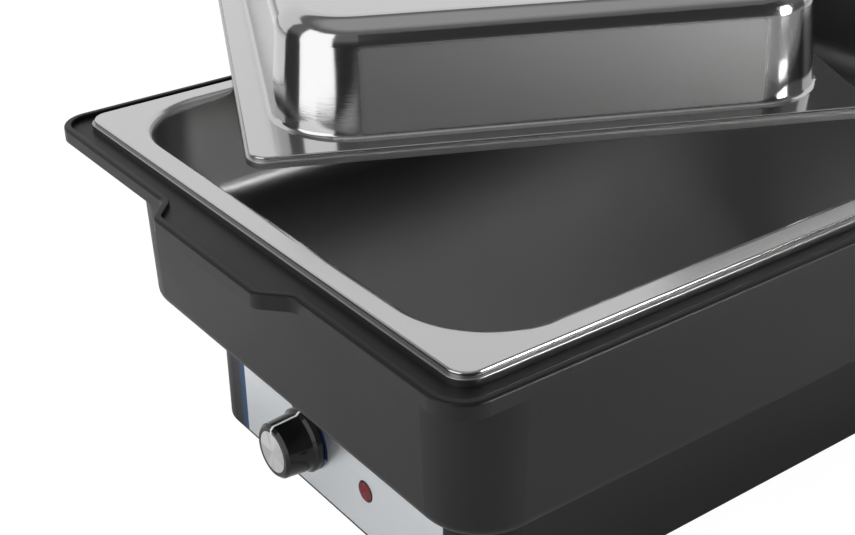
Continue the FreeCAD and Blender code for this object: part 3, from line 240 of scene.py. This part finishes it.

# %% Where the lid is satin, and where it is buffed and painted lighter
EDGE_TOP, EDGE_FADE = 0.0052, 0.0008  # the turned-down edge reaches this high
WALL_FOOT, FOOT_FADE = 0.005, 0.004  # the buffing begins here, above the rim
WALL_TOP, TOP_FADE = 0.0535, 0.005  # and ends here, where the wall rounds over into the top
LONG_WALL, LONG_CORNER = 0.12, 0.214  # a long wall stands beyond the first; its corners begin at the second
END_WALL, END_CORNER = 0.22, 0.11  # and the same for an end wall
CORNER_FADE = 0.009


def flat_wall(outwards, wall, sideways, corner):
    """The flat stretch of the two walls that stand further out than this, up to their rounded corners."""
    return (abs(outwards) > wall) * (corner - abs(sideways)).ramp(0, CORNER_FADE)


edge = (EDGE_TOP - lid_height).ramp(0, EDGE_FADE)
long_walls = flat_wall(lid_width, LONG_WALL, lid_length, LONG_CORNER)
end_walls = flat_wall(lid_length, END_WALL, lid_width, END_CORNER)
wall_band = (lid_height - WALL_FOOT).ramp(0, FOOT_FADE) * (WALL_TOP - lid_height).ramp(0, TOP_FADE)
# The buffed walls are rougher, and they are also painted lighter, which is painted light.
buffed_and_painted_light = (long_walls + end_walls) * wall_band
print("lid buffed from", WALL_FOOT, "to", WALL_TOP)

# %% The lid's mirror steel
SATIN, BUFFED = 0.26, 0.24  # the roughness that each adds to the polish
waves = lid_steel.noise(per_metre=16, detail=1.5)
hairs = lid_steel.noise(per_metre=3000, detail=1, stretch=(0.02, 0.02, 1))
lid_steel.wear("Roughness", hairs.between(0.09, 0.14) + edge * SATIN + buffed_and_painted_light * BUFFED)
# Painted light: the buffed walls get a lighter grey than the mirror parts.
lid_steel.wear("Base Color", lid_steel.mix(buffed_and_painted_light, grey(0.5), grey(0.55)))
lid_steel.bump(waves + hairs * 0.16, distance=0.0002, strength=0.5)
print("mixed:", lid_steel.material.name)

# %% [markdown]
# ## The control plate
# The plate is satin sheet with a print: a band at one end, navy where it starts and nearly black further
# out, a dark blue arc round the knob, and inside it a fine pale line with a tick. Print has no thickness to
# speak of, so pieces of its own would only stand proud of the sheet. It is drawn in the finish instead:
# distances along the plate and round the knob's axis come from the Object coordinates, and masks made from
# them turn metal into ink.

# %% Measure the plate from the knob's axis
plate_low, plate_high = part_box("control_plate")
knob_low, knob_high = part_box("control_knob")
knob_centre = (knob_low + knob_high) / 2

plate_steel = Finish("printed_plate", specular=0.2)
along, up = plate_steel.parts(plate_steel.place(knob_centre), "YZ")
radius = plate_steel.off_axis(knob_centre)
angle = up.atan2(-1 * along)
print("plate:", round(plate_low.y, 4), "to", round(plate_high.y, 4))
print("knob centre:", [round(v, 4) for v in knob_centre])

# %% The print's masks
BAND_WIDTH, BAND_FADE = 0.0125, 0.0006
NAVY_END, BLACK_START = 0.002, 0.009  # from the band's edge


def ring(inner, outer):
    return (radius > inner) * (radius < outer)


def sector(start, end):
    """Between two angles in radians, which count from the right over the top, seen from the front."""
    return (angle > start) * (angle < end)


arc = ring(0.0155, 0.0195) * sector(-0.25, 2.4)
line = ring(0.0145, 0.0149) * sector(-0.4, 2.6)
tick = ring(0.0165, 0.0195) * sector(-0.36, -0.32)
band_start = plate_high.y - knob_centre.y - BAND_WIDTH
band = along.ramp(band_start, band_start + BAND_FADE)
blackening = along.ramp(band_start + NAVY_END, band_start + BLACK_START)
print("band starts", round(band_start, 4), "from the knob's axis")

# %% Satin sheet with printed ink
COOL_STEEL = (1, 1.03, 1.06)
NAVY = (0.008, 0.045, 0.12)
NEARLY_BLACK = (0.008, 0.009, 0.007)
ARC_BLUE = (0.004, 0.011, 0.05)
PALE_LINE = (0.3, 0.31, 0.33)

streaks = plate_steel.noise(per_metre=1500, detail=2, stretch=(1, 0.03, 1))
metal = plate_steel.mix(streaks, tint(COOL_STEEL, 0.76), tint(COOL_STEEL, 0.82))
ink = plate_steel.mix(blackening, tint(NAVY), tint(NEARLY_BLACK))
printed = plate_steel.mix(band, metal, ink)
printed = plate_steel.mix(arc, printed, tint(ARC_BLUE))
printed = plate_steel.mix(line + tick, printed, tint(PALE_LINE))
covered = (band + arc + line + tick).ramp(0, 1)
plate_steel.wear("Base Color", printed)
plate_steel.wear("Metallic", 1 - covered)
plate_steel.wear("Roughness", streaks.between(0.3, 0.4))
plate_steel.bump(streaks, distance=0.00001, strength=0.4)
print("mixed:", plate_steel.material.name)

# %% [markdown]
# ## The knob, its pointer and its cap
# The knob is glossy black plastic, its cap is spun aluminium, and its pointer is a white strip. A spun face
# has fine rings, and its light fans out from the middle. Anisotropic gloss could give that fan, but not every
# renderer shows it alike, so a noise round the axis paints the fan into the colour as a painted highlight.

# %% The knob and its pointer
knob_gloss = Finish("knob_gloss_black", specular=0.35)
smears = knob_gloss.noise(per_metre=120, detail=3)
knob_gloss.wear("Base Color", tint((0.006, 0.006, 0.0065)))
knob_gloss.wear("Roughness", smears.between(0.08, 0.17))
knob_gloss.bump(knob_gloss.noise(per_metre=300, detail=1), distance=0.00001, strength=0.3)
print("mixed:", knob_gloss.material.name)

pointer_white = moulded_plastic("pointer_white", 0.72, 0.4)

# %% The knob's spun cap
cap_spun = Finish("cap_spun_aluminium", metallic=1.0)
from_axis = cap_spun.place(knob_centre)
rings = cap_spun.add("ShaderNodeTexWave", {"wave_type": "RINGS", "rings_direction": "X"},
                     {"Vector": from_axis, "Scale": 900.0, "Distortion": 0.6, "Detail": 1.0})
cap_y, cap_z = cap_spun.parts(from_axis, "YZ")
# A painted highlight: light and dark spokes round the axis, drawn into the cap's colour.
painted_fan_highlight = cap_spun.add("ShaderNodeTexNoise", {"noise_dimensions": "1D"},
                   {"W": cap_z.atan2(cap_y), "Scale": 0.9, "Detail": 1.0})
cap_spun.wear("Base Color", cap_spun.mix(painted_fan_highlight.ramp(0.35, 0.65), grey(0.58), grey(0.78)))
cap_spun.wear("Roughness", rings.between(0.24, 0.32))
cap_spun.bump(rings, distance=0.000006, strength=0.5)
print("mixed:", cap_spun.material.name)

# %% [markdown]
# ## The pilot lamp
# The lamp is off, so its red lens looks deep and dull, with a nearly black ring at its rim. Clear red glass
# over a dark hollow would do, but the lens is small from here, so the lens is a mottled dark red, and the
# ring is painted shade in the colour.

# %% The lamp's lens
RING_START, RING_END = 0.30, 0.37  # from the lens's axis, as shares of the whole lamp's height
lens_low, lens_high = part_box("lamp_lens")
lens_span = lens_high.z - lens_low.z

lens_red = Finish("lens_dark_red", specular=0.15)
mottling = lens_red.noise(per_metre=260, detail=2)
# Painted shade: from the ring's start outwards, the lens's colour turns nearly black.
painted_rim_shade = lens_red.off_axis((lens_low + lens_high) / 2).ramp(RING_START * lens_span, RING_END * lens_span)
lens_glass = lens_red.mix(mottling, tint((0.12, 0.006, 0.011)), tint((0.16, 0.010, 0.016)))
lens_red.wear("Base Color", lens_red.mix(painted_rim_shade, lens_glass, tint((0.012, 0.004, 0.005))))
lens_red.wear("Roughness", mottling.between(0.22, 0.32))
print("lens and collar across:", round(lens_span, 4))


# %% [markdown]
# ## The small parts
# The parts inside and underneath are zinc-plated steel, brass, annealed sheath, grey plastic, silicone and
# rubber. Few of them show from here, and one grey could stand for all. Each gets its own finish all the
# same, since the model can be opened and turned over.

# %% Small metals and rubbers
def plain_metal(name, colour, roughness, grain):
    """Metal with a soft mottling; the grain is in features per metre."""
    finish = Finish(name, metallic=1.0)
    spots = finish.noise(grain, detail=3)
    finish.wear("Base Color", finish.mix(spots, tint(colour, 0.88), tint(colour, 1.08)))
    finish.wear("Roughness", spots.between(roughness - 0.06, roughness + 0.08))
    finish.bump(spots, distance=0.00001, strength=0.4)
    print("mixed:", name)
    return finish


zinc = plain_metal("zinc_plated_steel", (0.55, 0.56, 0.58), 0.34, grain=220)
sheath = plain_metal("annealed_sheath", (0.30, 0.28, 0.26), 0.42, grain=260)
brass = plain_metal("terminal_brass", (0.62, 0.44, 0.19), 0.3, grain=400)
grey_plastic = moulded_plastic("grey_plastic", 0.17, 0.5)
silicone = moulded_plastic("silicone_seal", 0.08, 0.55, grain=900)
foot_rubber = moulded_plastic("foot_rubber", 0.022, 0.7, grain=800, grain_height=0.00008)

# %% [markdown]
# ## Give each solid its finish
# Every CAD node carries a material named for its slot in the record, so the finish goes on by that name.
# Only the material slots change: the solids stay as they are.

# %% Dress the solids
finishes = {
    "black_plastic": black_plastic,
    "plate_steel": plate_steel,
    "knob_plastic": knob_gloss,
    "cap_aluminium": cap_spun,
    "white_plastic": pointer_white,
    "grey_plastic": grey_plastic,
    "zinc_steel": zinc,
    "red_lens": lens_red,
    "silicone": silicone,
    "sheath_steel": sheath,
    "brass": brass,
    "foot_rubber": foot_rubber,
    "pan_steel": pan_steel,
    "lid_steel": lid_steel,
}
for solid in nodes.values():
    for slot in solid.material_slots:
        slot_name = slot.material.name.split(".")[0]
        slot.material = finishes[slot_name].material
print("dressed:", len(nodes), "solids in", len(finishes), "finishes")


# %% [markdown]
# ## The table and the room
# A white table and a white room keep the edges clean. Both show white to the camera, and the room also to
# metal and glass. Brighter lamps would whiten them too, but they would light the tray too strongly. So a
# Light Path node gives the camera a plain white instead, and the table keeps a little of its lit side, where
# the tray's shadow falls.

# %% The table
PLAIN_SHARE = 0.94  # how much of the table is plain white to the camera; the rest is lit


def deselect_all():
    bpy.ops.object.select_all(action="DESELECT")


def name_it(name):
    """Names the new object and its mesh."""
    thing = bpy.context.active_object
    thing.name = name
    thing.data.name = name
    return thing


deselect_all()
bpy.ops.mesh.primitive_plane_add(size=30)
table = name_it("studio_table")
table_white = bpy.data.materials.new("table_white")
bench = Bench(table_white, bare=True)
seen = bench.add("ShaderNodeLightPath", output="Is Camera Ray") * PLAIN_SHARE
lit = bench.add("ShaderNodeBsdfDiffuse", {}, {"Color": grey(0.95)})
plain = bench.add("ShaderNodeEmission", {}, {"Color": grey(1), "Strength": 1.04})
surface = bench.add("ShaderNodeMixShader", {}, {0: seen, 1: lit, 2: plain})
bench.add("ShaderNodeOutputMaterial", {}, {"Surface": surface})
table.data.materials.append(table_white)
print("table:", table.name)

# %% The room
LIGHT_LEVEL = 0.4  # what the room gives as light; it shows as 1
room = bpy.data.worlds.new("white_room")
bpy.context.scene.world = room
bench = Bench(room, bare=True)
rays = ("Camera", "Glossy", "Transmission")
seen = sum(bench.add("ShaderNodeLightPath", output=f"Is {ray} Ray") for ray in rays)
brightness = seen.ramp(0, 1).between(LIGHT_LEVEL, 1)
air = bench.add("ShaderNodeBackground", {}, {"Color": grey(1), "Strength": brightness})
bench.add("ShaderNodeOutputWorld", {}, {"Surface": air})
print("room:", room.name)


# %% [markdown]
# ## The cards that the steel mirrors
# Steel is only as good as what stands round it. A studio is white behind the piece and dark on the camera's
# side, with a tall soft box at the left. A narrow bright strip at the front right gives the lid's corners
# and the pan's lip their lights, and a black flag behind the far right corner of the pan gives the steel
# something dark to mirror: a sheet of painted shade that only its reflections show. Lamps could do this,
# but they would also light the plastic. So the cards are curved sheets cut from one dome, and they are seen
# in reflections alone: they light nothing, shade nothing, and never stand in the way of a view.

# %% The cards' sheets
CARD_REACH = 2.6  # the dome's radius
TABLE_GAP = 0.004  # a card that lies on the table stays this far above it


def heading(bearing):
    """The way to a bearing in degrees, which counts clockwise from +Y."""
    return Vector((sin(radians(bearing)), cos(radians(bearing)), 0))


def dome_sector(name, start, end, lowest, highest):
    """A sector of the dome, clockwise between two bearings and up between two elevations, in degrees.

    One that begins at the table also lies on it."""
    deselect_all()
    bpy.ops.mesh.primitive_uv_sphere_add(segments=96, ring_count=48, radius=CARD_REACH)
    sheet = name_it(name)
    floor = CARD_REACH * sin(radians(lowest)) + TABLE_GAP
    ceiling = CARD_REACH * sin(radians(highest))
    cuts = [((0, 0, floor), (0, 0, -1), lowest == 0), ((0, 0, ceiling), (0, 0, 1), False)]
    # A card that goes all the way round needs no cuts at its sides.
    if end - start < 180:
        cuts += [((0, 0, 0), -heading(start + 90), False), ((0, 0, 0), heading(end + 90), False)]
    bpy.ops.object.mode_set(mode="EDIT")
    for point, normal, fill in cuts:
        bpy.ops.mesh.select_all(action="SELECT")
        bpy.ops.mesh.bisect(plane_co=point, plane_no=normal, clear_outer=True, use_fill=fill)
    bpy.ops.object.mode_set(mode="OBJECT")
    return sheet


print("the cards stand", CARD_REACH, "m away")

# %% The cards' glow
CARD_HOLE = 0.75  # nearer to the middle than this, a card that lies on the table is clear
UPRIGHT = 0.01  # above this share of its reach, a card counts as upright
RISE_START, RISE_END = 8, 26  # the low glow ends and the high one starts, in degrees above the lower edge


def card_glow(name, levels, lowest):
    """A glow of three levels: on the table, low on the card and high on it."""
    on_table, low, high = levels
    material = bpy.data.materials.new(name)
    bench = Bench(material, bare=True)
    where = bench.add("ShaderNodeTexCoord", output="Object")
    height = bench.parts(where, "Z")[0] / CARD_REACH
    upright = height > UPRIGHT
    rise = height.ramp(sin(radians(lowest + RISE_START)), sin(radians(lowest + RISE_END)))
    level = on_table * (1 - upright) + upright * rise.between(low, high)
    glow = bench.add("ShaderNodeEmission", {}, {"Color": grey(1), "Strength": level})
    clear = bench.add("ShaderNodeBsdfTransparent")
    surface = bench.add("ShaderNodeMixShader", {}, {0: bench.length(where) > CARD_HOLE, 1: clear, 2: glow})
    bench.add("ShaderNodeOutputMaterial", {}, {"Surface": surface})
    return material


print("the cards are clear within", CARD_HOLE, "m")

# %% The cards in their places
def for_mirrors_alone(thing):
    """Only reflections show it, and it shades nothing."""
    thing.visible_camera = thing.visible_diffuse = thing.visible_shadow = False
    thing.visible_transmission = thing.visible_volume_scatter = False


def curved_card(name, start, end, levels, lowest=0, highest=45):
    card = dome_sector(name, start, end, lowest, highest)
    card.data.materials.append(card_glow(name, levels, lowest))
    for_mirrors_alone(card)
    print("card:", name, "from", start, "to", end, "degrees")


# Each card has its two bearings, and its glow on the table, low and high.
curved_card("card_dark_left", -68, -40, (0.05, 0.05, 0.2))
curved_card("card_soft_box", -118, -68, (1.9, 1.9, 1.9))
curved_card("card_dark_camera", -156, -118, (0.04, 0.04, 0.2))
curved_card("card_grey_front", -201, -156, (0.36, 0.05, 0.05))
curved_card("card_soft_front", -214, -201, (0.36, 44, 0.1))
curved_card("card_grey_right", -250, -214, (0.36, 0.1, 0.2))
curved_card("card_ceiling", -180, 180, (0.2, 0.2, 0.5), lowest=45, highest=90)

# %% The black flag of painted shade
FLAG_PLACE = (0.46, 0.172, 0.31)
FLAG_WIDTH, FLAG_HEIGHT = 0.53, 0.26
deselect_all()
bpy.ops.mesh.primitive_plane_add(size=1, rotation=(radians(90), 0, 0), location=FLAG_PLACE)
flag = name_it("black_flag")
flag.scale = (FLAG_WIDTH, FLAG_HEIGHT, 1)
# Painted shade: a black sheet that only the steel's reflections show.
flag_painted_shade = Finish("flag_painted_shade")
flag_painted_shade.wear("Base Color", grey(0.01))
flag.data.materials.append(flag_painted_shade.material)
for_mirrors_alone(flag)
print("flag:", flag.name)

# %% [markdown]
# ## Lamps and camera
# Two large soft lamps, one at the left and one overhead, shape the black plastic and shade the table. A sun
# would give them hard edges. The lamps hide from reflections, because the cards already are what the steel
# mirrors. The camera looks down on the knob's end of the tray and along its near side, with a long lens.

# %% The lamps
TRAY_MIDDLE = Vector((0, 0, 0.1))


def soft_lamp(name, place, size, watts):
    """A square lamp that faces the tray and shows in no reflection."""
    lamp = bpy.data.lights.new(name, "AREA")
    lamp.shape = "SQUARE"
    lamp.size = size
    lamp.energy = watts
    holder = bpy.data.objects.new(name, lamp)
    bpy.context.scene.collection.objects.link(holder)
    holder.location = place
    holder.rotation_euler = (TRAY_MIDDLE - Vector(place)).to_track_quat("-Z", "Y").to_euler()
    holder.visible_glossy = False
    print("lamp:", name, watts, "W")


soft_lamp("lamp_left", (-2.2, -0.4, 1.4), size=1.2, watts=38)
soft_lamp("lamp_top", (0.2, 0.4, 2.4), size=1.6, watts=32)

# %% The camera
CAMERA_PLACE = (-0.5419, -0.5246, 0.4705)
FOCAL_LENGTH = 61.77
bearing, dip, roll = radians(35.95), radians(28.32), radians(-0.94)
ahead = Vector((sin(bearing) * cos(dip), cos(bearing) * cos(dip), -sin(dip)))
level_side = Vector((cos(bearing), -sin(bearing), 0))
level_top = level_side.cross(ahead)
side = cos(roll) * level_side + sin(roll) * level_top
top = cos(roll) * level_top - sin(roll) * level_side
turn = Matrix((side, top, -ahead)).transposed().to_4x4()

lens = bpy.data.cameras.new("view")
lens.lens = FOCAL_LENGTH
lens.sensor_width = 36
lens.sensor_fit = "HORIZONTAL"
lens.clip_start = 0.01
lens.clip_end = 100
camera = bpy.data.objects.new("view", lens)
bpy.context.scene.collection.objects.link(camera)
camera.matrix_world = Matrix.Translation(CAMERA_PLACE) @ turn
bpy.context.scene.camera = camera
bpy.context.scene.view_settings.view_transform = "Standard"
print("camera at", CAMERA_PLACE, "with a lens of", FOCAL_LENGTH, "mm")
